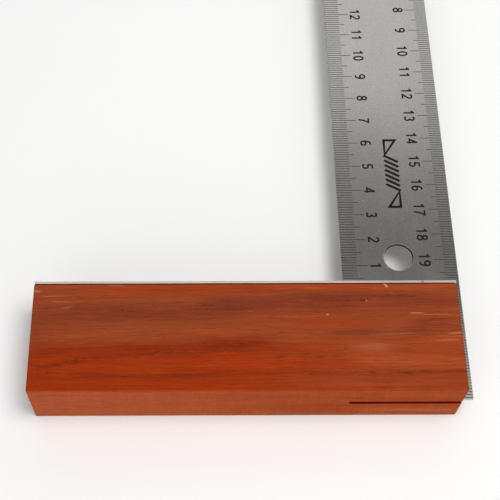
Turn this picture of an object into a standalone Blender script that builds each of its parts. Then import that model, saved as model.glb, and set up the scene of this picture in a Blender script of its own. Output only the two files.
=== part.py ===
"""Try square: a steel rule let into the heel end of a hardwood stock at a right angle.

The frame is metres with +Z up, and the square lies flat on the plane Z = 0. X runs along the stock,
Y runs along the blade and away from the stock's outer face, and the origin is the bottom centre of the
whole square's box.
"""

import math

import bmesh
import bpy
from mathutils import Matrix, Vector

# Driving dimensions.
STOCK_LENGTH = 0.140
STOCK_WIDTH = 0.0383  # wood, gap and face plate together
STOCK_HEIGHT = 0.024
BLADE_LENGTH = 0.2405
BLADE_WIDTH = 0.040
BLADE_THICKNESS = 0.0012
BLADE_TOP = 0.0130  # height of the blade's upper face over the table
BLADE_OVERHANG = 0.00366  # the blade's edge stands this far out of the stock's heel end
BLADE_SETBACK = 0.0009  # the blade's heel lies this far inside the stock's outer face
PLATE_THICKNESS = 0.0008
SLOT_HEIGHT = 0.0020
GAP = 0.0003  # between pieces that touch

# The round hole that the square hangs by, centred across the blade.
HANG_HOLE_RADIUS = 0.005
HANG_HOLE_FROM_HEEL = 0.0514
HANG_HOLE_CHAMFER = 0.0003

# Small edges.
WOOD_EASING = 0.00035
BLADE_EASING = 0.00012
PLATE_EASING = 0.00012

# Fasteners: a countersunk head that runs down to a plain shank with a chamfered tip.
PIN_HEAD_RADIUS = 0.0026
PIN_SHANK_RADIUS = 0.0015
PIN_LENGTH = 0.0185
SCREW_HEAD_RADIUS = 0.0024
SCREW_SHANK_RADIUS = 0.0012
SCREW_LENGTH = 0.0120
HEAD_LAND = 0.0002  # the head's short straight rim over its cone
TIP_CHAMFER = 0.0005
RECESS_SPAN = 0.0026
RECESS_WIDTH = 0.0006
RECESS_DEPTH = 0.0010
SINK = 0.0001  # a head lies this far below the face that it is flush with

# How far cutters reach past the faces that they open.
OVERCUT = 0.005
HOLE_OVERCUT = 0.001

# The frame: the box of the whole square is centred on the origin in X and Y.
RIGHT = (STOCK_LENGTH + BLADE_OVERHANG) / 2
HEEL_END = RIGHT - BLADE_OVERHANG
TOE_END = HEEL_END - STOCK_LENGTH
OUTER_FACE = -(BLADE_LENGTH + BLADE_SETBACK) / 2
INNER_FACE = OUTER_FACE + STOCK_WIDTH
WOOD_BACK = INNER_FACE - PLATE_THICKNESS - GAP
BLADE_HEEL = OUTER_FACE + BLADE_SETBACK
BLADE_LEFT = RIGHT - BLADE_WIDTH
BLADE_MIDDLE = RIGHT - BLADE_WIDTH / 2
BLADE_MID_HEIGHT = BLADE_TOP - BLADE_THICKNESS / 2
SLOT_END = BLADE_LEFT - GAP

# Fastener places: the pins form a triangle in the blade's seat. One plate screw stands over the blade's
# notch and one under it, and the other two are on the strip's middle line.
PIN_PLACES = (
    (HEEL_END - 0.0290, OUTER_FACE + 0.0100),
    (HEEL_END - 0.0075, OUTER_FACE + 0.0100),
    (HEEL_END - 0.0183, OUTER_FACE + 0.0270),
)
SCREW_PLACES = (
    (TOE_END + 0.0150, STOCK_HEIGHT / 2),
    (HEEL_END - 0.0520, STOCK_HEIGHT / 2),
    (HEEL_END - 0.0105, 0.0185),
    (HEEL_END - 0.0105, 0.0058),
)

ROUND_STEPS = 40
HOLE_STEPS = 72


def clear_scene():
    for obj in list(bpy.data.objects):
        bpy.data.objects.remove(obj)


def new_collection(name):
    collection = bpy.data.collections.new(name)
    bpy.context.scene.collection.children.link(collection)
    return collection


def material(name, colour, roughness, metallic):
    made = bpy.data.materials.new(name)
    made.use_nodes = True
    shader = made.node_tree.nodes["Principled BSDF"]
    shader.inputs["Base Color"].default_value = (*colour, 1)
    shader.inputs["Roughness"].default_value = roughness
    shader.inputs["Metallic"].default_value = metallic
    return made


def add_object(name, mesh_builder, collection, skin=None):
    """An object whose mesh is what the builder, a bmesh, holds."""
    mesh = bpy.data.meshes.new(name)
    mesh_builder.to_mesh(mesh)
    mesh_builder.free()
    obj = bpy.data.objects.new(name, mesh)
    collection.objects.link(obj)
    if skin:
        mesh.materials.append(skin)
    return obj


def block(name, low, high, collection, skin=None):
    """A box between two corners, with its origin at its centre and no scale left on it."""
    low, high = Vector(low), Vector(high)
    builder = bmesh.new()
    bmesh.ops.create_cube(builder, size=1, matrix=Matrix.Diagonal((*(high - low), 1)))
    obj = add_object(name, builder, collection, skin)
    obj.location = (low + high) / 2
    return obj


def ease_edges(obj, width, segments):
    bevel = obj.modifiers.new("eased edges", "BEVEL")
    bevel.width = width
    bevel.segments = segments
    bevel.limit_method = "ANGLE"
    bevel.angle_limit = math.radians(40)


def cut(obj, cutter):
    boolean = obj.modifiers.new("cut by " + cutter.name, "BOOLEAN")
    boolean.operation = "DIFFERENCE"
    boolean.object = cutter


def as_cutter(obj):
    obj.hide_render = True
    obj.display_type = "WIRE"
    return obj


def turned(name, profile, collection, skin=None, steps=ROUND_STEPS):
    """A profile of (radius, height) points, listed from the top down, turned round Z."""
    mesh = bpy.data.meshes.new(name)
    points = [(radius, 0, height) for radius, height in profile]
    mesh.from_pydata(points, [(i, i + 1) for i in range(len(points) - 1)], [])
    obj = bpy.data.objects.new(name, mesh)
    collection.objects.link(obj)
    screw = obj.modifiers.new("turned", "SCREW")
    screw.axis = "Z"
    screw.steps = screw.render_steps = steps
    screw.use_merge_vertices = True
    screw.merge_threshold = 1e-6
    screw.use_smooth_shade = True
    if skin:
        mesh.materials.append(skin)
    return obj


def fastener_profile(head, shank, length, grow=0.0):
    """A countersunk fastener with its head's face at Z = 0 and its tip below. grow widens it all round."""
    cone = head - shank
    return [
        (0, grow),
        (head + grow, grow),
        (head + grow, -HEAD_LAND),
        (shank + grow, -HEAD_LAND - cone),
        (shank + grow, -length + TIP_CHAMFER - grow),
        (shank + grow - TIP_CHAMFER, -length - grow),
        (0, -length - grow),
    ]


def place_fastener(obj, place, direction):
    """Puts the head's centre at place, with the head facing along direction."""
    obj.rotation_euler = Vector(direction).to_track_quat("Z", "Y").to_euler()
    obj.location = place


def add_fastener(name, size, place, direction, skin, parts, cutters):
    """A fastener sunk just under a face, and the cutter that clears its hole. Both are returned."""
    sunk = Vector(place) - Vector(direction) * SINK
    piece = turned(name, fastener_profile(*size), parts, skin)
    hole = as_cutter(turned(name + "_hole", fastener_profile(*size, grow=GAP), cutters))
    place_fastener(piece, sunk, direction)
    place_fastener(hole, sunk, direction)
    return piece, hole


def add_recess(screw, cutters):
    """A cross recess in a screw's head: two crossed slots."""
    for turn, angle in enumerate((0, math.pi / 2)):
        builder = bmesh.new()
        size = (RECESS_SPAN, RECESS_WIDTH, 2 * RECESS_DEPTH)
        bmesh.ops.create_cube(builder, size=1, matrix=Matrix.Diagonal((*size, 1)))
        bmesh.ops.rotate(builder, verts=builder.verts, matrix=Matrix.Rotation(angle, 3, "Z"))
        slot = as_cutter(add_object(f"{screw.name}_recess_{turn + 1}", builder, cutters))
        slot.location, slot.rotation_euler = screw.location, screw.rotation_euler
        cut(screw, slot)


def add_stock(parts, skin):
    stock = block(
        "stock",
        (TOE_END, OUTER_FACE, 0),
        (HEEL_END, WOOD_BACK, STOCK_HEIGHT),
        parts,
        skin,
    )
    ease_edges(stock, WOOD_EASING, 2)
    return stock


def add_slot(cutters):
    """The saw slot that the blade sits in. It is open at both faces and at the heel end."""
    return as_cutter(
        block(
            "blade_slot",
            (SLOT_END, OUTER_FACE - OVERCUT, BLADE_MID_HEIGHT - SLOT_HEIGHT / 2),
            (RIGHT + OVERCUT, INNER_FACE + OVERCUT, BLADE_MID_HEIGHT + SLOT_HEIGHT / 2),
            cutters,
        )
    )


def add_blade(parts, cutters, skin):
    blade = block(
        "blade",
        (BLADE_LEFT, BLADE_HEEL, BLADE_TOP - BLADE_THICKNESS),
        (RIGHT, BLADE_HEEL + BLADE_LENGTH, BLADE_TOP),
        parts,
        skin,
    )
    ease_edges(blade, BLADE_EASING, 1)
    half = BLADE_THICKNESS / 2
    wide = HANG_HOLE_RADIUS + HANG_HOLE_CHAMFER + HOLE_OVERCUT
    profile = [
        (0, half + HOLE_OVERCUT),
        (wide, half + HOLE_OVERCUT),
        (HANG_HOLE_RADIUS, half - HANG_HOLE_CHAMFER),
        (HANG_HOLE_RADIUS, -half + HANG_HOLE_CHAMFER),
        (wide, -half - HOLE_OVERCUT),
        (0, -half - HOLE_OVERCUT),
    ]
    hole = as_cutter(turned("hang_hole", profile, cutters, steps=HOLE_STEPS))
    hole.location = (BLADE_MIDDLE, BLADE_HEEL + HANG_HOLE_FROM_HEEL, BLADE_MID_HEIGHT)
    cut(blade, hole)
    return blade


def add_face_plate(parts, skin):
    plate = block(
        "face_plate",
        (TOE_END, INNER_FACE - PLATE_THICKNESS, 0),
        (HEEL_END, INNER_FACE, STOCK_HEIGHT),
        parts,
        skin,
    )
    ease_edges(plate, PLATE_EASING, 1)
    return plate


def main():
    clear_scene()
    parts = new_collection("try_square")
    cutters = new_collection("cutters")
    wood = material("red hardwood", (0.42, 0.075, 0.018), 0.48, 0)
    steel = material("brushed steel", (0.40, 0.39, 0.38), 0.38, 1)
    strip = material("satin aluminium", (0.78, 0.76, 0.72), 0.35, 1)
    bright = material("bright steel", (0.62, 0.61, 0.60), 0.28, 1)

    stock = add_stock(parts, wood)
    blade = add_blade(parts, cutters, steel)
    plate = add_face_plate(parts, strip)
    slot = add_slot(cutters)
    cut(stock, slot)
    cut(plate, slot)

    for number, (x, y) in enumerate(PIN_PLACES, 1):
        size = (PIN_HEAD_RADIUS, PIN_SHANK_RADIUS, PIN_LENGTH)
        _, hole = add_fastener(f"blade_pin_{number}", size, (x, y, 0), (0, 0, -1), bright, parts, cutters)
        cut(stock, hole)
        cut(blade, hole)

    for number, (x, z) in enumerate(SCREW_PLACES, 1):
        size = (SCREW_HEAD_RADIUS, SCREW_SHANK_RADIUS, SCREW_LENGTH)
        screw, hole = add_fastener(
            f"face_plate_screw_{number}", size, (x, INNER_FACE, z), (0, 1, 0), bright, parts, cutters
        )
        add_recess(screw, cutters)
        cut(plate, hole)
        cut(stock, hole)


main()
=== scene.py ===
"""Looks of the try square: materials, printed scales, floor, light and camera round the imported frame.

Lengths are metres in the frame. Names that end in _MM are millimetres, which the materials work in.
"""

import math

import bmesh
import bpy
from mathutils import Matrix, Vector


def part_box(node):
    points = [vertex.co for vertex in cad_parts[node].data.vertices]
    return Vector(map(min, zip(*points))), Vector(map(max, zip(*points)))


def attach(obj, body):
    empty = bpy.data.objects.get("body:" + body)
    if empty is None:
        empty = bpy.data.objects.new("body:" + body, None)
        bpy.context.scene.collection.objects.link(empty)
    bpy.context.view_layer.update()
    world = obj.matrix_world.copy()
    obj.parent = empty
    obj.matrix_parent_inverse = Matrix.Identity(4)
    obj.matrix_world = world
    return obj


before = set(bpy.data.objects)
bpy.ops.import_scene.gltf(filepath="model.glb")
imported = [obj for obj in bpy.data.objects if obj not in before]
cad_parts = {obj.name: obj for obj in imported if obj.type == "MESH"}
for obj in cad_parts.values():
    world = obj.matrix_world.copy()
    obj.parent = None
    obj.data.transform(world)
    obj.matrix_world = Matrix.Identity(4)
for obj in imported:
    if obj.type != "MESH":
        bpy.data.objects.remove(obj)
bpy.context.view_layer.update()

MM = 0.001

STOCK_LOW, STOCK_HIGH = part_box("stock")
STOCK_LENGTH_MM = (STOCK_HIGH.x - STOCK_LOW.x) / MM
STOCK_HEIGHT_MM = (STOCK_HIGH.z - STOCK_LOW.z) / MM
PLATE_LOW, PLATE_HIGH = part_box("face_plate")
BLADE_LOW, BLADE_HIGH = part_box("blade")


# ---------------------------------------------------------------------------------------- node helpers


def srgb(red, green, blue):
    """A colour given as screen values of 0 to 255, as linear values."""
    def linear(value):
        value /= 255
        return value / 12.92 if value <= 0.04045 else ((value + 0.055) / 1.055) ** 2.4

    return (linear(red), linear(green), linear(blue), 1.0)


def connect(tree, socket, value):
    """Links an output to the socket, or sets the socket to a plain value."""
    if isinstance(value, bpy.types.NodeSocket):
        tree.links.new(value, socket)
    else:
        socket.default_value = value


def math_node(tree, operation, *values):
    node = tree.nodes.new("ShaderNodeMath")
    node.operation = operation
    for socket, value in zip(node.inputs, values):
        connect(tree, socket, value)
    return node.outputs[0]


def product(tree, first, *others):
    """Several numbers multiplied together."""
    for other in others:
        first = math_node(tree, "MULTIPLY", first, other)
    return first


def vector_node(tree, operation, *values):
    """A vector operation. A dot product, length or distance gives a number, the others a vector."""
    node = tree.nodes.new("ShaderNodeVectorMath")
    node.operation = operation
    for socket, value in zip(node.inputs, values):
        connect(tree, socket, value)
    return node.outputs["Value" if operation in ("DOT_PRODUCT", "LENGTH", "DISTANCE") else "Vector"]


def combine(tree, x=0.0, y=0.0, z=0.0):
    node = tree.nodes.new("ShaderNodeCombineXYZ")
    for socket, value in zip(node.inputs, (x, y, z)):
        connect(tree, socket, value)
    return node.outputs[0]


def separate(tree, vector):
    node = tree.nodes.new("ShaderNodeSeparateXYZ")
    connect(tree, node.inputs[0], vector)
    return node.outputs


def noise(tree, point, stretch, detail=2.0, roughness=0.5, distortion=0.0, seed=0.0):
    """Noise with so many cells for each unit along X, Y and Z. Another seed gives other noise."""
    placed = vector_node(tree, "MULTIPLY_ADD", point, stretch, (seed, seed * 1.7, seed * 2.3))
    node = tree.nodes.new("ShaderNodeTexNoise")
    node.inputs["Scale"].default_value = 1.0
    node.inputs["Detail"].default_value = detail
    node.inputs["Roughness"].default_value = roughness
    node.inputs["Distortion"].default_value = distortion
    connect(tree, node.inputs["Vector"], placed)
    return node.outputs[0]


def remap(tree, value, low, high, to_low=0.0, to_high=1.0):
    """A smooth step from low to high, given out as to_low to to_high."""
    node = tree.nodes.new("ShaderNodeMapRange")
    node.interpolation_type = "SMOOTHSTEP"
    node.clamp = False  # a smooth step stays in its range by itself
    for socket, given in zip(node.inputs, (value, low, high, to_low, to_high)):
        connect(tree, socket, given)
    return node.outputs[0]


def blend(tree, factor, first, second):
    """A number between two others: the first where the factor is 0, the second where it is 1."""
    node = tree.nodes.new("ShaderNodeMix")
    node.data_type = "FLOAT"
    connect(tree, node.inputs[0], factor)
    connect(tree, node.inputs[2], first)
    connect(tree, node.inputs[3], second)
    return node.outputs[0]


def mix_colour(tree, factor, first, second):
    """A colour between two others: the first where the factor is 0, the second where it is 1."""
    node = tree.nodes.new("ShaderNodeMix")
    node.data_type = "RGBA"
    connect(tree, node.inputs["Factor"], factor)
    colours = [socket for socket in node.inputs if socket.type == "RGBA"]
    connect(tree, colours[0], first)
    connect(tree, colours[1], second)
    return [socket for socket in node.outputs if socket.type == "RGBA"][0]


def scale_colour(tree, colour, value):
    """A colour made brighter or darker by a factor that varies over the surface."""
    return vector_node(tree, "SCALE", colour, (0, 0, 0), (0, 0, 0), value)


def line_mask(tree, point, start, end, half_width, soft):
    """1 on the line from start to end, in X and Y only, falling to 0 at its sides and its ends."""
    start, end = Vector((*start, 0)), Vector((*end, 0))
    along_axis = (end - start).normalized()
    across_axis = Vector((-along_axis.y, along_axis.x, 0))
    from_start = vector_node(tree, "SUBTRACT", point, tuple(start))
    along = vector_node(tree, "DOT_PRODUCT", from_start, tuple(along_axis))
    across = vector_node(tree, "DOT_PRODUCT", from_start, tuple(across_axis / half_width))
    sides = math_node(tree, "EXPONENT", product(tree, across, across, -1.0))
    length = (end - start).length
    rise = remap(tree, along, -soft, soft)
    fall = remap(tree, along, length - soft, length + soft, 1.0, 0.0)
    return product(tree, sides, rise, fall)


def total_mask(tree, point, lines):
    """The sum of several line masks, each with its own strength, but never over 1."""
    total = 0.0
    for start, end, half_width, soft, strength in lines:
        mask = line_mask(tree, point, start, end, half_width, soft)
        total = math_node(tree, "MULTIPLY_ADD", mask, strength, total)
    return math_node(tree, "MINIMUM", total, 1.0)


def new_material(name, metallic=0.0, specular=0.5):
    """A material, its tree and its shader. Numbers that are the same all over sit on the shader itself."""
    material = bpy.data.materials.new(name)
    material.use_nodes = True
    shader = material.node_tree.nodes["Principled BSDF"]
    shader.inputs["Metallic"].default_value = metallic
    shader.inputs["Specular IOR Level"].default_value = specular
    return material, material.node_tree, shader


def add_bump(tree, shader, height, distance):
    node = tree.nodes.new("ShaderNodeBump")
    node.inputs["Strength"].default_value = 1.0
    node.inputs["Distance"].default_value = distance
    connect(tree, node.inputs["Height"], height)
    connect(tree, shader.inputs["Normal"], node.outputs["Normal"])


def millimetres_from(tree, corner):
    """The place on the surface, in millimetres from a corner of the piece."""
    coordinates = tree.nodes.new("ShaderNodeTexCoord")
    shift = tuple(-value / MM for value in corner)
    return vector_node(tree, "MULTIPLY_ADD", coordinates.outputs["Object"], (1 / MM,) * 3, shift)


# ------------------------------------------------------------------------------------------- materials

FRONT_ORANGE = srgb(152, 51, 15)
BACK_ORANGE = srgb(148, 67, 35)
MAUVE = srgb(126, 55, 34)
VIOLET = srgb(108, 46, 34)
RUST = srgb(134, 42, 18)
SCARLET = srgb(160, 54, 19)
SALMON = srgb(168, 76, 39)
DARK = srgb(86, 34, 16)
PALE = srgb(186, 108, 64)
SCRATCHED = srgb(214, 152, 122)
# painted sheen: the outer face's base colours are paler and yellower than the top's, for the light and
# sheen this face catches
OUTER_LEFT = srgb(172, 78, 40)
OUTER_RIGHT = srgb(160, 69, 24)
OUTER_PALE = srgb(169, 90, 50)
OUTER_RED = srgb(160, 52, 13)
# painted shade for the inside of the blade's slot
SLOT_SHADE = srgb(122, 22, 6)

# How deep each material's relief is.
WOOD_RELIEF = 0.05 * MM
BLADE_RELIEF = 0.004 * MM
STRIP_RELIEF = 0.006 * MM
FASTENER_RELIEF = 0.01 * MM

# Growth layers lean: one millimetre down the outer face is this far out across the top face.
LAYER_LEAN = 0.4

# A face's own look fades out inwards: the depths, in millimetres, where it is gone and where it is whole.
OUTER_SKIN_MM = (0.5, 0.1)
TOP_SKIN_MM = (0.6, 0.1)
END_SKIN_MM = (0.4, 0.1)

# Marks in the stock's top face, in millimetres: along the stock from its free end, and from its outer
# face. Each is (start, end, half width, softness of its ends, strength). A cloud's tint comes with how
# patchy it is.
CLOUDS_MM = (
    (MAUVE, 0.35, (
        ((2, 26.5), (66, 27.2), 3.9, 10, 0.95),
        ((58, 29.5), (102, 30.2), 3.2, 10, 0.9),
        ((96, 30.4), (138, 30.4), 3.2, 8, 0.75),
        ((121, 21.6), (142, 22.0), 2.3, 6, 0.7),
        ((-2, 22.0), (5, 22.0), 7.0, 4, 0.5),
    )),
    (VIOLET, 0.75, (
        ((58, 31.2), (92, 32.2), 1.0, 8, 0.4),
        ((88, 32.6), (134, 33.0), 1.1, 8, 0.6),
        ((60, 28.6), (80, 29.4), 0.9, 5, 0.4),
        ((97, 19.4), (114, 20.4), 0.9, 4, 0.55),
        ((119, 19.8), (130, 21.0), 0.8, 3, 0.45),
        ((126, 23.6), (136, 24.4), 0.8, 3, 0.5),
    )),
    (RUST, 0.4, (
        ((58, 15.6), (77, 16.4), 2.0, 4, 0.95),
        ((32, 14.6), (64, 15.6), 1.8, 8, 0.75),
        ((0, 13.6), (36, 14.2), 1.8, 8, 0.6),
        ((0, 3.5), (8, 4.5), 2.5, 4, 0.3),
        ((110, 0.9), (116, 0.9), 0.7, 2, 0.9),
        ((33.5, 2.0), (39.5, 2.0), 0.3, 2, 0.8),
    )),
    (SCARLET, 0.2, (
        ((8, 7.6), (44, 8.6), 0.9, 6, 0.9),
        ((34, 9.2), (82, 9.6), 1.9, 8, 0.9),
        ((76, 9.0), (112, 9.4), 1.8, 8, 0.6),
        ((84, 23.6), (112, 22.8), 1.6, 8, 0.45),
        ((20, 34.8), (112, 36.2), 1.1, 10, 0.75),
    )),
    (SALMON, 0.35, (
        ((106, 10.4), (142, 10.2), 2.1, 6, 0.85),
        ((96, 3.0), (142, 2.4), 1.4, 10, 0.15),
        ((100, 15.0), (120, 15.4), 2.1, 6, 0.4),
        ((128, 17.0), (142, 17.4), 1.4, 6, 0.6),
        ((78, 35.6), (134, 36.0), 0.9, 8, 0.4),
    )),
)
DARK_BANDS_MM = (
    ((5, 8.3), (17.5, 10.3), 0.8, 3, 0.62),
    ((12, 10.6), (32, 12.4), 1.1, 5, 0.30),
    ((0, 12.8), (14, 13.2), 0.8, 4, 0.35),
    ((33, 12.2), (51, 13.6), 1.2, 5, 0.48),
    ((52, 13.6), (71, 14.2), 1.0, 4, 0.42),
    ((78.4, 11.3), (82.2, 11.6), 0.7, 1.4, 0.50),
    ((86.6, 12.4), (90.2, 12.9), 0.7, 1.4, 0.48),
    ((91.4, 11.1), (94.8, 11.4), 0.6, 1.4, 0.48),
    ((96.3, 11.4), (100.2, 11.8), 0.6, 1.4, 0.36),
    ((13, 5.3), (33, 4.9), 0.8, 3, 0.42),
    ((30, 5.0), (66, 5.6), 0.8, 6, 0.36),
    ((46, 5.4), (60, 5.6), 0.6, 3, 0.30),
    ((72, 5.6), (92, 5.4), 0.7, 5, 0.25),
    ((88, 5.3), (98, 5.3), 0.8, 3, 0.36),
    ((98, 5.4), (126, 5.7), 0.8, 6, 0.34),
    ((107, 6.2), (113, 6.2), 0.6, 2.0, 0.30),
    ((118, 6.2), (142, 6.6), 0.8, 4, 0.40),
    ((60, 6.9), (100, 7.0), 0.5, 8, 0.18),
)
SPOTS_MM = (
    ((107.4, 31.2), (109.2, 31.0), 0.24, 0.3, 1.0),
    ((29.2, 27.8), (29.9, 27.8), 0.22, 0.3, 0.9),
    ((3.0, 5.2), (3.6, 5.2), 0.25, 0.3, 0.6),
    ((6.2, 6.0), (6.9, 6.1), 0.2, 0.3, 0.6),
)
PALE_LINES_MM = (
    ((115.0, 38.4), (117.0, 35.8), 0.30, 0.2, 1.0),
    ((124, 26.5), (128, 26.5), 0.14, 0.8, 0.6),
    ((128, 25.9), (136, 26.0), 0.10, 2, 0.3),
    ((96.3, 26.1), (96.9, 26.1), 0.28, 0.3, 0.7),
    ((109.5, 31.0), (109.9, 31.0), 0.2, 0.2, 0.7),
    ((24, 37.0), (30, 36.6), 0.35, 2, 0.16),
    ((0.3, 34.6), (2.3, 34.7), 0.5, 1, 0.3),
    ((3, 32.8), (10, 33.0), 0.16, 2, 0.22),
    ((6, 31.0), (12, 30.8), 0.16, 2, 0.22),
    ((10, 28.6), (13, 29.0), 0.25, 1, 0.16),
    ((135.5, 19.2), (140, 19.6), 0.25, 1.2, 0.35),
    ((132, 16.8), (138, 17.2), 0.2, 1.5, 0.2),
    ((105, 14.5), (116, 14.7), 1.6, 4, 0.12),
    ((112, 19.0), (124, 19.4), 0.3, 4, 0.12),
)

# The same for the outer face: along the stock, and up from the underside.
OUTER_PALE_MM = (
    ((-4, 1.0), (144, 1.0), 1.6, 4, 0.75),
    ((-2, 4.6), (8, 4.6), 1.6, 3, 1.0),
    ((110, 5.6), (142, 4.6), 1.9, 8, 1.0),
    ((72, 3.4), (88, 3.0), 1.3, 5, 0.35),
    ((10, 5.4), (62, 4.6), 1.4, 14, 0.35),
)
OUTER_RED_AND_EDGE_SHADE_MM = (
    ((78, 8.6), (103, 10.4), 2.4, 8, 0.7),
    ((98, 17.0), (142, 14.6), 1.4, 8, 0.7),
    # painted shade: a dark red line just under the top edge's bevel, all along the face
    ((0, 23.7), (142, 23.7), 0.5, 6, 0.9),
    ((60, 20.6), (78, 20.2), 1.5, 6, 0.3),
    ((96, 9.6), (142, 9.4), 1.0, 6, 0.6),
    ((24, 12.2), (52, 11.4), 1.0, 8, 0.3),
)
OUTER_DARK_MM = (
    ((14, 9.9), (27, 8.0), 0.5, 3, 0.3),
    ((83, 3.4), (92, 3.2), 0.6, 3, 0.2),
    ((98, 20.4), (118, 20.0), 0.35, 5, 0.22),
)

# The blade's slot: the heights of its floor and roof over the underside, and where it starts. Painted shade
# darkens the wood in it and this far past its floor, its roof and its start.
SLOT_MM = (11.4, 13.4)
SLOT_START_MM = 103.4
SLOT_SHADE_MM = (0.35, 0.2, 0.3)


def wood_grain(tree, along, across, up):
    """Coordinates that follow the growth layers, from the outer side of the plank inwards."""
    under_top = math_node(tree, "SUBTRACT", up, STOCK_HEIGHT_MM)
    leaned = math_node(tree, "MULTIPLY_ADD", under_top, LAYER_LEAN, across)
    bare = combine(tree, along, leaned, up)
    slow = math_node(tree, "SUBTRACT", noise(tree, bare, (0.03, 0.10, 0.06), detail=2, seed=3), 0.5)
    quick = math_node(tree, "SUBTRACT", noise(tree, bare, (0.13, 0.6, 0.4), detail=3, seed=27), 0.5)
    layer = math_node(tree, "MULTIPLY_ADD", quick, 1.7, leaned)
    layer = math_node(tree, "MULTIPLY_ADD", slow, 1.2, layer)
    return combine(tree, along, layer, up)


def plank_colour(tree, grain, mottle):
    """Orange wood that grows browner inwards and towards the heel, with clouds and dark bands in it."""
    along, layer, _ = separate(tree, grain)
    deeper = remap(tree, layer, 11.5, 19.0)
    farther = remap(tree, along, 62, 112, 0.0, 0.7)
    colour = mix_colour(tree, math_node(tree, "MAXIMUM", deeper, farther), FRONT_ORANGE, BACK_ORANGE)
    for tint, patchiness, lines in CLOUDS_MM:
        torn = remap(tree, mottle, 0.30, 0.60, 1.0 - patchiness, 1.0)
        cloud = product(tree, total_mask(tree, grain, lines), torn)
        colour = mix_colour(tree, cloud, colour, tint)
    feathered = remap(tree, mottle, 0.36, 0.60, 0.15, 1.0)
    bands = product(tree, total_mask(tree, grain, DARK_BANDS_MM), feathered)
    return mix_colour(tree, bands, colour, DARK)


def outer_face_colour(tree, along, up, mottle):
    """The outer face, painted paler than the top as painted sheen, with marks of its own, a painted shade
    line under its top edge and faint saw marks across the grain.
    """
    face = combine(tree, along, up)
    torn = remap(tree, mottle, 0.30, 0.60, 0.5, 1.0)
    colour = mix_colour(tree, remap(tree, along, 10, 100), OUTER_LEFT, OUTER_RIGHT)
    for tint, lines in ((OUTER_RED, OUTER_RED_AND_EDGE_SHADE_MM), (OUTER_PALE, OUTER_PALE_MM)):
        patch = product(tree, total_mask(tree, face, lines), torn)
        colour = mix_colour(tree, patch, colour, tint)
    colour = mix_colour(tree, total_mask(tree, face, OUTER_DARK_MM), colour, DARK)
    saw_marks = noise(tree, face, (1.3, 0.10, 0.0), detail=2, seed=51)
    flecks = noise(tree, face, (0.35, 1.3, 0.0), detail=4, roughness=0.7, seed=57)
    saw_tone = remap(tree, saw_marks, 0.3, 0.7, 0.95, 1.05)
    fleck_tone = remap(tree, flecks, 0.3, 0.7, 0.89, 1.11)
    return scale_colour(tree, colour, product(tree, saw_tone, fleck_tone))


def end_grain_mask(tree, place, along):
    """How dark the two ends are: end grain soaks up more finish and is full of pores."""
    from_end = math_node(tree, "MINIMUM", along, math_node(tree, "SUBTRACT", STOCK_LENGTH_MM, along))
    on_end = remap(tree, from_end, *END_SKIN_MM)
    pores = remap(tree, noise(tree, place, (0.5, 4.0, 4.0), detail=2, seed=37), 0.50, 0.68)
    return product(tree, on_end, remap(tree, pores, 0.0, 1.0, 0.22, 0.60))


def slot_mask(tree, along, up):
    """1 on the slot's walls and just round its mouth, where the wood is painted with the slot's shade."""
    floor, roof = SLOT_MM
    under_floor, over_roof, before_start = SLOT_SHADE_MM
    above = remap(tree, up, floor - under_floor, floor - 0.05)
    below = remap(tree, up, roof + over_roof, roof)
    past_start = remap(tree, along, SLOT_START_MM - before_start, SLOT_START_MM)
    return product(tree, above, below, past_start)


def wood_material():
    material, tree, shader = new_material("red_hardwood", specular=0.015)
    place = millimetres_from(tree, STOCK_LOW)
    along, across, up = separate(tree, place)
    grain = wood_grain(tree, along, across, up)
    layer = separate(tree, grain)[1]

    streaks = noise(tree, grain, (0.014, 1.3, 0.30), detail=3, roughness=0.6, seed=11)
    fibres = noise(tree, grain, (0.040, 2.6, 1.6), detail=5, roughness=0.78, seed=5)
    mottle = noise(tree, grain, (0.35, 2.0, 0.9), detail=3, roughness=0.7, distortion=0.4, seed=8)
    broad = noise(tree, grain, (0.05, 0.30, 0.12), detail=3, roughness=0.6, seed=21)

    colour = plank_colour(tree, grain, mottle)
    on_outer = remap(tree, across, *OUTER_SKIN_MM)
    colour = mix_colour(tree, on_outer, colour, outer_face_colour(tree, along, up, mottle))

    streak_tone = remap(tree, streaks, 0.28, 0.72, 0.94, 1.06)
    fine_tone = remap(tree, fibres, 0.30, 0.70, 0.80, 1.17)
    broad_tone = remap(tree, broad, 0.25, 0.75, 0.94, 1.06)
    colour = scale_colour(tree, colour, product(tree, streak_tone, fine_tone, broad_tone))

    pores = remap(tree, noise(tree, grain, (0.30, 6.0, 6.0), detail=2, seed=31), 0.66, 0.76)
    colour = mix_colour(tree, product(tree, pores, 0.38), colour, DARK)
    hairs = noise(tree, grain, (0.05, 4.6, 4.6), detail=2, roughness=0.6, seed=43)
    hair_zones = remap(tree, layer, 15, 24, 0.08, 0.34)
    hair_cover = product(tree, remap(tree, hairs, 0.60, 0.74), hair_zones)
    colour = mix_colour(tree, hair_cover, colour, PALE)

    under_top = math_node(tree, "SUBTRACT", STOCK_HEIGHT_MM, up)
    on_top = remap(tree, under_top, *TOP_SKIN_MM)
    surface = combine(tree, along, across)
    for tint, lines in ((DARK, SPOTS_MM), (SCRATCHED, PALE_LINES_MM)):
        marks = product(tree, total_mask(tree, surface, lines), on_top)
        colour = mix_colour(tree, marks, colour, tint)

    colour = mix_colour(tree, end_grain_mask(tree, place, along), colour, DARK)
    # painted shade: the slot's walls and mouth are darkened for the shade inside the slot
    colour = mix_colour(tree, slot_mask(tree, along, up), colour, SLOT_SHADE)
    connect(tree, shader.inputs["Base Color"], colour)
    connect(tree, shader.inputs["Roughness"], remap(tree, fibres, 0.2, 0.8, 0.40, 0.56))
    relief = math_node(tree, "MULTIPLY_ADD", pores, -1.0, product(tree, fibres, 0.5))
    add_bump(tree, shader, relief, WOOD_RELIEF)
    return material


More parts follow.
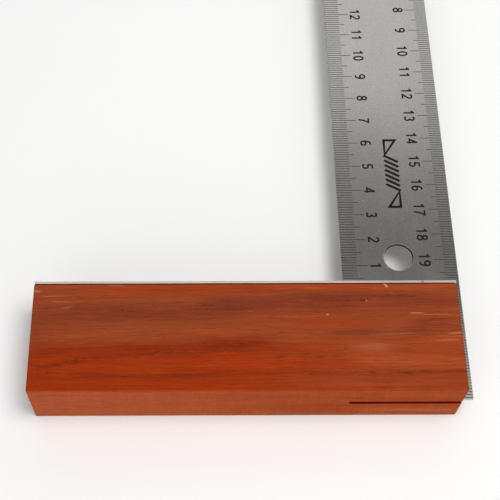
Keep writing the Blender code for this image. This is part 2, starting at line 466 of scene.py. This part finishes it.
# Marks on the blade, in millimetres from its inner edge and from its heel.
SCRATCHES_MM = (
    ((10.8, 58.9), (14.4, 62.1), 0.08, 0.8, 0.5),
    ((14.3, 53.0), (16.2, 46.8), 0.40, 1.5, 0.35),
    ((30.0, 43.8), (36.0, 44.0), 0.08, 1.5, 0.5),
    ((22.8, 66.5), (23.2, 66.8), 0.25, 0.2, 0.45),
    ((24.5, 97.0), (27.5, 104.0), 0.06, 2.0, 0.2),
    ((9.0, 128.0), (17.0, 131.5), 0.06, 2.0, 0.3),
    ((19.0, 163.0), (21.5, 170.0), 0.07, 2.0, 0.3),
    ((28.0, 214.0), (33.0, 211.0), 0.07, 2.0, 0.3),
)
HOLE_CENTRE_MM = (20.0, 51.4, 0.0)
HOLE_RADIUS_MM = 5.0
RIM_MM = (0.36, 0.28)  # the rim, which carries a painted highlight, ends at the first of these past the radius, whole at the second
WALL_SHADE_REACH_MM = (0.02, 0.21)  # how far the painted shade of the wall reaches over the rim, at the least and at the most
WALL_SHADE_SIDE = (0.42, 0.91, 0.0)  # the side of the hole where the painted wall shade reaches furthest over its rim
BARE_STEEL = srgb(188, 186, 184)
DULL_STEEL = srgb(122, 118, 113)
BRIGHT_STEEL = srgb(236, 233, 230)
# painted shade for the hang hole's wall and the far side of its rim
HOLE_WALL_SHADE = srgb(52, 47, 44)


def hole_masks(tree, place):
    """Where the hang hole's rim is, which carries a painted highlight, and where painted shade lies on its
    wall and over the rim's far side.
    """
    flat = vector_node(tree, "MULTIPLY", place, (1, 1, 0))
    from_centre = vector_node(tree, "DISTANCE", flat, HOLE_CENTRE_MM)
    rim_end, rim_whole = (HOLE_RADIUS_MM + width for width in RIM_MM)
    on_rim = remap(tree, from_centre, rim_end, rim_whole)
    outwards = vector_node(tree, "SUBTRACT", flat, HOLE_CENTRE_MM)
    towards_wall_shade = vector_node(tree, "DOT_PRODUCT", outwards, WALL_SHADE_SIDE)
    wall_shade_width = remap(tree, towards_wall_shade, -2.0, 2.5, *WALL_SHADE_REACH_MM)
    past_wall_shade = math_node(tree, "SUBTRACT", from_centre, wall_shade_width)
    on_wall_shade = remap(tree, past_wall_shade, HOLE_RADIUS_MM + 0.05, HOLE_RADIUS_MM)
    return on_rim, on_wall_shade


def blade_material():
    """Steel ground along the blade, with a painted highlight on the hang hole's countersink and painted
    shade on its wall.
    """
    material, tree, shader = new_material("ground_steel", metallic=1.0)
    place = millimetres_from(tree, BLADE_LOW)
    brushed = noise(tree, place, (7.0, 0.05, 7.0), detail=3, roughness=0.6, seed=2)
    fine = noise(tree, place, (22.0, 0.35, 22.0), detail=2, roughness=0.6, seed=9)
    cloud = noise(tree, place, (0.10, 0.035, 0.1), detail=3, roughness=0.55, seed=14)
    grit = noise(tree, place, (2.6, 1.5, 2.6), detail=2, roughness=0.7, seed=29)
    specks = remap(tree, noise(tree, place, (1.6, 1.6, 1.6), detail=2, seed=17), 0.68, 0.78)

    brushed_tone = remap(tree, brushed, 0.2, 0.8, 0.97, 1.03)
    cloud_tone = remap(tree, cloud, 0.2, 0.8, 0.95, 1.05)
    grit_tone = remap(tree, grit, 0.25, 0.75, 0.90, 1.10)
    tone = product(tree, brushed_tone, cloud_tone, grit_tone)
    colour = scale_colour(tree, BARE_STEEL[:3], tone)
    colour = mix_colour(tree, product(tree, specks, 0.35), colour, DULL_STEEL)
    colour = mix_colour(tree, total_mask(tree, place, SCRATCHES_MM), colour, BRIGHT_STEEL)
    on_rim, on_wall_shade = hole_masks(tree, place)
    # painted highlight: the countersink rim is brightened for the light it catches
    colour = mix_colour(tree, product(tree, on_rim, 0.5), colour, BRIGHT_STEEL)
    # painted shade: the hole's wall and a crescent over its far rim are darkened
    colour = mix_colour(tree, on_wall_shade, colour, HOLE_WALL_SHADE)
    connect(tree, shader.inputs["Base Color"], colour)

    rough = math_node(tree, "MULTIPLY_ADD", cloud, 0.05, remap(tree, fine, 0.2, 0.8, 0.14, 0.18))
    rough = math_node(tree, "MULTIPLY_ADD", on_rim, 0.22, rough)
    connect(tree, shader.inputs["Roughness"], rough)
    shader.inputs["Anisotropic"].default_value = 0.85
    tangent = tree.nodes.new("ShaderNodeTangent")
    tangent.direction_type = "RADIAL"
    tangent.axis = "Y"
    connect(tree, shader.inputs["Tangent"], tangent.outputs[0])
    add_bump(tree, shader, math_node(tree, "ADD", brushed, fine), BLADE_RELIEF)
    return material


ALUMINIUM = srgb(238, 225, 213)
FASTENER_STEEL = srgb(212, 209, 204)
WORN_INK = srgb(120, 118, 116)
FLOOR_TINTS = (srgb(247, 247, 246), srgb(250, 250, 249))

# A darker spot in the strip's top edge, in millimetres along it and up from the underside.
STRIP_DARK_SPOTS_MM = (
    ((128.6, 24.3), (129.3, 23.2), 0.3, 0.2, 0.6),
)


def strip_material():
    """Satin aluminium, drawn along the stock."""
    material, tree, shader = new_material("satin_aluminium", metallic=1.0)
    place = millimetres_from(tree, PLATE_LOW)
    drawn = noise(tree, place, (0.05, 9.0, 9.0), detail=3, roughness=0.6, seed=4)
    cloud = noise(tree, place, (0.05, 0.2, 0.15), detail=2, seed=6)
    drawn_tone = remap(tree, drawn, 0.2, 0.8, 0.90, 1.06)
    cloud_tone = remap(tree, cloud, 0.25, 0.75, 0.92, 1.05)
    colour = scale_colour(tree, ALUMINIUM[:3], product(tree, drawn_tone, cloud_tone))
    along, _, up = separate(tree, place)
    dark_spot = total_mask(tree, combine(tree, along, up), STRIP_DARK_SPOTS_MM)
    connect(tree, shader.inputs["Base Color"], mix_colour(tree, dark_spot, colour, DULL_STEEL))
    connect(tree, shader.inputs["Roughness"], remap(tree, drawn, 0.2, 0.8, 0.42, 0.55))
    add_bump(tree, shader, drawn, STRIP_RELIEF)
    return material


def fastener_material(name, centre, axis):
    """Bright steel with fine turning marks round the fastener's own axis."""
    material, tree, shader = new_material(name, metallic=1.0)
    place = millimetres_from(tree, centre)
    flat = vector_node(tree, "MULTIPLY", place, tuple(0.0 if value else 1.0 for value in axis))
    radius = vector_node(tree, "LENGTH", flat)
    rings = noise(tree, combine(tree, radius), (9.0, 1.0, 1.0), detail=3, roughness=0.7, seed=1)
    grime = noise(tree, place, (1.2, 1.2, 1.2), detail=3, seed=12)
    ring_tone = remap(tree, rings, 0.2, 0.8, 0.86, 1.06)
    grime_tone = remap(tree, grime, 0.35, 0.7, 1.0, 0.82)
    colour = scale_colour(tree, FASTENER_STEEL[:3], product(tree, ring_tone, grime_tone))
    connect(tree, shader.inputs["Base Color"], colour)
    connect(tree, shader.inputs["Roughness"], remap(tree, grime, 0.3, 0.7, 0.24, 0.40))
    add_bump(tree, shader, rings, FASTENER_RELIEF)
    return material


def ink_material(name, colour, wear):
    """Etched black filling, worn a little so that it isn't an even black."""
    material, tree, shader = new_material(name, specular=0.1)
    place = millimetres_from(tree, BLADE_LOW)
    grain = noise(tree, place, (3.0, 3.0, 3.0), detail=3, roughness=0.6, seed=19)
    worn = remap(tree, grain, 0.45, 0.85, 0.0, wear)
    connect(tree, shader.inputs["Base Color"], mix_colour(tree, worn, colour, WORN_INK))
    connect(tree, shader.inputs["Roughness"], remap(tree, grain, 0.2, 0.8, 0.50, 0.68))
    return material


def floor_material():
    material, tree, shader = new_material("pale_floor", specular=0.1)
    coordinates = tree.nodes.new("ShaderNodeTexCoord")
    grain = noise(tree, coordinates.outputs["Object"], (6.0, 6.0, 6.0), detail=3, seed=7)
    connect(tree, shader.inputs["Base Color"], mix_colour(tree, grain, *FLOOR_TINTS))
    shader.inputs["Roughness"].default_value = 0.8
    return material


# -------------------------------------------------------------------------------------- printed scales

INK_DEPTH = 0.03 * MM
INK_PROUD = 0.012 * MM
STROKE_STEP = 0.0008 * MM  # crossing strokes differ in height by this, so that no two faces coincide
SHARPEST_BEND = 0.5  # cosine of half a corner's turn past which its point isn't drawn out any further

TICK_WIDTH = 0.24 * MM
TICK_FROM_EDGE = 0.15 * MM
DIGIT_HEIGHT = 3.85 * MM
DIGIT_STROKE = 0.165  # this and the next two are shares of the digit's height
DIGIT_ADVANCE = 0.72
DIGIT_WIDTH = 0.6

# The inner scale counts from the stock's inner face, and the outer one from the blade's free end.
INNER_ZERO = PLATE_HIGH.y + 0.95 * MM
OUTER_ZERO = BLADE_HIGH.y
INNER_LENGTH_MM = 200
OUTER_LENGTH_MM = 240
NUMBERS = range(1, 20)  # the centimetres that carry a numeral on either scale
INNER_TICKS = (5.5 * MM, 7.4 * MM, 9.0 * MM)  # millimetre, half centimetre, centimetre
OUTER_TICKS = (4.5 * MM, 6.2 * MM, 7.9 * MM)
INNER_DIGITS_BASE = BLADE_LOW.x + 10.0 * MM
OUTER_DIGITS_BASE = BLADE_LOW.x + 27.1 * MM
MARK_BASE = BLADE_LOW.x + 18.1 * MM
MARK_HEIGHT = 5.0 * MM
MARK_START = BLADE_LOW.y + 100.0 * MM
MARK_LENGTH = 29.0 * MM
MARK_BARS = 7

# The mark's own measures, as shares of its height. A bar leans from its foot to its top.
MARK_STROKE = 0.19
MARK_TRIANGLE = 1.35
FIRST_BAR = 1.55
BARS_MARGIN = 1.7
BAR_FOOT, BAR_TOP = -0.13, 0.43


def arc(x, y, radius_x, radius_y, start, stop, steps=14):
    """Points on an elliptical arc. Angles are in degrees, and run backwards where stop is below start."""
    angles = [math.radians(start + (stop - start) * step / steps) for step in range(steps + 1)]
    return [(x + radius_x * math.cos(a), y + radius_y * math.sin(a)) for a in angles]


def turned_over(strokes):
    """The same strokes turned half a circle about the middle of a digit."""
    return [([(DIGIT_WIDTH - x, 1.0 - y) for x, y in points], closed) for points, closed in strokes]


def digit_strokes():
    """Centre lines of the ten digits in a box 0.6 wide and 1 high, as (points, whether they close)."""
    bowl = [(arc(0.30, 0.29, 0.215, 0.235, 0, 360, 24)[:-1], True)]
    six = bowl + [(arc(0.33, 0.42, 0.245, 0.52, 62, 180, 12) + [(0.087, 0.30)], False)]
    hook = arc(0.30, 0.71, 0.215, 0.235, 168, -25)
    return {
        "0": [(arc(0.30, 0.50, 0.215, 0.445, 0, 360, 28)[:-1], True)],
        "1": [([(0.36, 0.0), (0.36, 1.0)], False), ([(0.35, 0.93), (0.25, 0.80), (0.12, 0.74)], False)],
        "2": [(hook + [(0.095, 0.10), (0.08, 0.055), (0.54, 0.055)], False)],
        "3": [
            (arc(0.29, 0.725, 0.195, 0.22, 155, -90), False),
            (arc(0.29, 0.275, 0.225, 0.225, 90, -155), False),
        ],
        "4": [([(0.56, 0.265), (0.07, 0.265), (0.43, 0.93)], False), ([(0.43, 0.0), (0.43, 1.0)], False)],
        "5": [
            ([(0.52, 0.945), (0.16, 0.945), (0.105, 0.50)], False),
            (arc(0.285, 0.305, 0.225, 0.25, 140, -155), False),
        ],
        "6": six,
        "7": [([(0.05, 0.945), (0.545, 0.945), (0.40, 0.70), (0.28, 0.40), (0.22, 0.0)], False)],
        "8": [
            (arc(0.30, 0.735, 0.185, 0.205, 0, 360, 22)[:-1], True),
            (arc(0.30, 0.275, 0.22, 0.225, 0, 360, 24)[:-1], True),
        ],
        "9": turned_over(six),
    }


def add_ribbon(builder, points, closed, width, low, high):
    """A flat stroke of even width along points, as a closed solid between two heights."""
    points = [Vector((x, y, 0)) for x, y in points]
    count = len(points)
    rails = []
    for i, point in enumerate(points):
        before = points[i - 1] if closed or i else point
        after = points[(i + 1) % count] if closed or i + 1 < count else point
        into, out = (point - before).normalized(), (after - point).normalized()
        direction = (into + out).normalized()
        bend = max(direction.dot(out if out.length else into), SHARPEST_BEND)
        side = Vector((-direction.y, direction.x, 0)) * (width / 2 / bend)
        corners = [((point + sign * side).xy, z) for sign in (1, -1) for z in (low, high)]
        rails.append([builder.verts.new((*corner, z)) for corner, z in corners])
    for i in range(count if closed else count - 1):
        left_low, left_high, right_low, right_high = rails[i]
        next_left_low, next_left_high, next_right_low, next_right_high = rails[(i + 1) % count]
        builder.faces.new((left_high, right_high, next_right_high, next_left_high))
        builder.faces.new((left_low, next_left_low, next_right_low, right_low))
        builder.faces.new((left_low, left_high, next_left_high, next_left_low))
        builder.faces.new((right_high, right_low, next_right_low, next_right_high))
    if not closed:
        for rail, order in ((rails[0], (0, 2, 3, 1)), (rails[-1], (0, 1, 3, 2))):
            builder.faces.new([rail[i] for i in order])


def add_stroke(builder, points, closed, width, level):
    """A stroke on the blade's top face. The level keeps crossing strokes apart."""
    top = BLADE_HIGH.z + INK_PROUD + level * STROKE_STEP
    add_ribbon(builder, points, closed, width, BLADE_HIGH.z - INK_DEPTH, top)


def on_blade(points, base, start, height):
    """Turns points of lettering so that it reads towards the heel, with its top towards the outer edge."""
    return [(base + y * height, start - x * height) for x, y in points]


def number_strokes(text):
    """The strokes of a number, with its middle at X = 0."""
    glyphs = digit_strokes()
    width = DIGIT_ADVANCE * (len(text) - 1) + DIGIT_WIDTH
    strokes = []
    for place, letter in enumerate(text):
        shift = place * DIGIT_ADVANCE - width / 2
        strokes += [([(x + shift, y) for x, y in points], closed) for points, closed in glyphs[letter]]
    return strokes


def finish_piece(name, builder, material):
    """Turns a bmesh into a piece that rides on the square."""
    bmesh.ops.recalc_face_normals(builder, faces=builder.faces)
    mesh = bpy.data.meshes.new(name)
    builder.to_mesh(mesh)
    builder.free()
    mesh.materials.append(material)
    piece = bpy.data.objects.new(name, mesh)
    bpy.context.scene.collection.objects.link(piece)
    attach(piece, "root")
    return piece


def scale_ticks(name, edge, inward, zero, direction, length_mm, ticks, material):
    """One row of marks along an edge of the blade: a tick each millimetre, longer each 5 and 10."""
    builder = bmesh.new()
    for millimetre in range(length_mm + 1):
        y = zero + direction * millimetre * MM
        if not BLADE_LOW.y + TICK_WIDTH < y < BLADE_HIGH.y - TICK_WIDTH:
            continue
        size = ticks[2] if millimetre % 10 == 0 else ticks[1] if millimetre % 5 == 0 else ticks[0]
        start, end = edge + inward * TICK_FROM_EDGE, edge + inward * size
        add_stroke(builder, [(start, y), (end, y)], False, TICK_WIDTH, 0)
    return finish_piece(name, builder, material)


def scale_numbers(name, base, zero, direction, material):
    """One row of numerals, one for each centimetre."""
    builder = bmesh.new()
    for number in NUMBERS:
        y = zero + direction * number * 10 * MM
        for level, (points, closed) in enumerate(number_strokes(str(number))):
            placed = on_blade(points, base, y, DIGIT_HEIGHT)
            add_stroke(builder, placed, closed, DIGIT_STROKE * DIGIT_HEIGHT, level)
    return finish_piece(name, builder, material)


def plain_mark(material):
    """A row of plain shapes between the two scales: a set square, slanting bars and a set square."""
    builder = bmesh.new()
    length = MARK_LENGTH / MARK_HEIGHT
    edge = MARK_STROKE / 2
    triangle = [(edge, edge), (MARK_TRIANGLE, edge), (edge, 1 - edge)]
    shapes = [(triangle, True), ([(length - x, 1 - y) for x, y in triangle], True)]
    room = length - 2 * BARS_MARGIN
    for bar in range(MARK_BARS):
        x = FIRST_BAR + room * bar / (MARK_BARS - 1)
        shapes.append(([(x + BAR_FOOT, 0.0), (x + BAR_TOP, 1.0)], False))
    for level, (points, closed) in enumerate(shapes):
        placed = on_blade(points, MARK_BASE, MARK_START, MARK_HEIGHT)
        add_stroke(builder, placed, closed, MARK_STROKE * MARK_HEIGHT, level)
    return finish_piece("plain_mark", builder, material)


# --------------------------------------------------------------------------------- floor, light, camera

WHITE = (1.0, 1.0, 1.0)
FLOOR_SIZE = 12.0

# The studio's brightness by height over the horizon, as (degrees, brightness).
FRONT_WALL = ((0, 1.1), (48, 1.1), (57, 0.3))
SIDE_WALLS = ((0, 0.22), (50, 0.22), (57, 0.2))
BACK_WALL = ((0, 0.35), (25, 0.35), (42, 0.95), (55.1, 0.95), (56.0, 0.54), (57.5, 0.43), (61.5, 0.27))
OVERHEAD = ((63.6, 0.15), (64.6, 0.22), (66.5, 0.65), (68.0, 1.3), (90, 1.3))
BRIGHTEST = 1.5
BACKDROP = 1.0

# The soft light over the heel end: its place, the spot that it faces, its side and its power in watts.
KEY_PLACE = (0.30, -0.17, 1.00)
KEY_TARGET = (0.05, -0.07, 0.0)
KEY_SIDE = 0.40
KEY_POWER = 5.0


def add_floor():
    builder = bmesh.new()
    bmesh.ops.create_grid(builder, x_segments=1, y_segments=1, size=FLOOR_SIZE / 2)
    mesh = bpy.data.meshes.new("floor")
    builder.to_mesh(mesh)
    builder.free()
    mesh.materials.append(floor_material())
    floor = bpy.data.objects.new("floor", mesh)
    bpy.context.scene.collection.objects.link(floor)


def add_softbox():
    """A square soft light. It is left out of reflections, where its glare would wash out the scales."""
    light = bpy.data.lights.new("key_softbox", "AREA")
    light.shape = "SQUARE"
    light.size = KEY_SIDE
    light.energy = KEY_POWER
    light.color = WHITE
    obj = bpy.data.objects.new("key_softbox", light)
    obj.location = KEY_PLACE
    obj.rotation_euler = (Vector(KEY_TARGET) - Vector(KEY_PLACE)).to_track_quat("-Z", "Y").to_euler()
    obj.visible_glossy = False
    bpy.context.scene.collection.objects.link(obj)


def brightness_by_height(tree, height, stops):
    """A wall's brightness from the sine of the height over the horizon, in straight steps between stops."""
    node = tree.nodes.new("ShaderNodeFloatCurve")
    points = node.mapping.curves[0].points
    while len(points) < len(stops):
        points.new(0.5, 0.5)
    for point, (angle, brightness) in zip(points, stops):
        point.location = (math.sin(math.radians(angle)), brightness / BRIGHTEST)
        point.handle_type = "VECTOR"
    node.mapping.update()
    connect(tree, node.inputs["Value"], height)
    return math_node(tree, "MULTIPLY", node.outputs[0], BRIGHTEST)


def add_world():
    """A studio: walls in front, at the sides and behind, a dim gap over them and a lit panel overhead.

    The camera sees an even pale backdrop instead.
    """
    world = bpy.data.worlds.new("studio")
    bpy.context.scene.world = world
    world.use_nodes = True
    tree = world.node_tree
    background = tree.nodes["Background"]
    background.inputs["Color"].default_value = (*WHITE, 1)
    coordinates = tree.nodes.new("ShaderNodeTexCoord")
    direction = coordinates.outputs["Generated"]
    height = math_node(tree, "MAXIMUM", separate(tree, direction)[2], 0.0)
    level = vector_node(tree, "NORMALIZE", vector_node(tree, "MULTIPLY", direction, (1, 1, 0)))
    away = separate(tree, level)[1]

    front = brightness_by_height(tree, height, FRONT_WALL + OVERHEAD)
    sides = brightness_by_height(tree, height, SIDE_WALLS + OVERHEAD)
    back = brightness_by_height(tree, height, BACK_WALL + OVERHEAD)
    glow = blend(tree, remap(tree, away, -0.25, -0.8), sides, front)
    glow = blend(tree, remap(tree, away, 0.75, 0.98), glow, back)
    path = tree.nodes.new("ShaderNodeLightPath")
    seen = blend(tree, path.outputs["Is Camera Ray"], glow, BACKDROP)
    connect(tree, background.inputs["Strength"], seen)


SENSOR_WIDTH = 36.0
LENS = 79.88
CAMERA_PLACE = (-0.0134, -0.2409, 0.3572)
CAMERA_TURN = (29.28, 0.016, -0.206)  # degrees
CAMERA_SHIFT = (0.0762, -0.0872)
CLIP_START = 0.01


def add_camera():
    data = bpy.data.cameras.new("camera")
    data.sensor_width = SENSOR_WIDTH
    data.lens = LENS
    data.shift_x, data.shift_y = CAMERA_SHIFT
    data.clip_start = CLIP_START
    camera = bpy.data.objects.new("camera", data)
    camera.location = CAMERA_PLACE
    camera.rotation_euler = [math.radians(angle) for angle in CAMERA_TURN]
    bpy.context.scene.collection.objects.link(camera)
    bpy.context.scene.camera = camera


def set_material(node, material):
    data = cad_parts[node].data
    data.materials.clear()
    data.materials.append(material)


def add_scales():
    tick_ink = ink_material("tick_ink", srgb(58, 57, 57), 0.3)
    digit_ink = ink_material("digit_ink", srgb(30, 29, 30), 0.2)
    mark_ink = ink_material("mark_ink", srgb(22, 21, 22), 0.12)
    inner = (BLADE_LOW.x, 1, INNER_ZERO, 1, INNER_LENGTH_MM, INNER_TICKS)
    outer = (BLADE_HIGH.x, -1, OUTER_ZERO, -1, OUTER_LENGTH_MM, OUTER_TICKS)
    scale_ticks("inner_scale_ticks", *inner, tick_ink)
    scale_ticks("outer_scale_ticks", *outer, tick_ink)
    scale_numbers("inner_scale_numbers", INNER_DIGITS_BASE, INNER_ZERO, 1, digit_ink)
    scale_numbers("outer_scale_numbers", OUTER_DIGITS_BASE, OUTER_ZERO, -1, digit_ink)
    plain_mark(mark_ink)


def main():
    bpy.context.scene.view_settings.view_transform = "Standard"
    add_camera()

    set_material("stock", wood_material())
    set_material("blade", blade_material())
    set_material("face_plate", strip_material())
    for name in sorted(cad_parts):
        if "screw" in name or "pin" in name:
            low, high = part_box(name)
            axis = (0, 1, 0) if "screw" in name else (0, 0, 1)
            set_material(name, fastener_material(name + "_steel", (low + high) / 2, axis))

    add_scales()
    add_floor()
    add_world()
    add_softbox()


main()
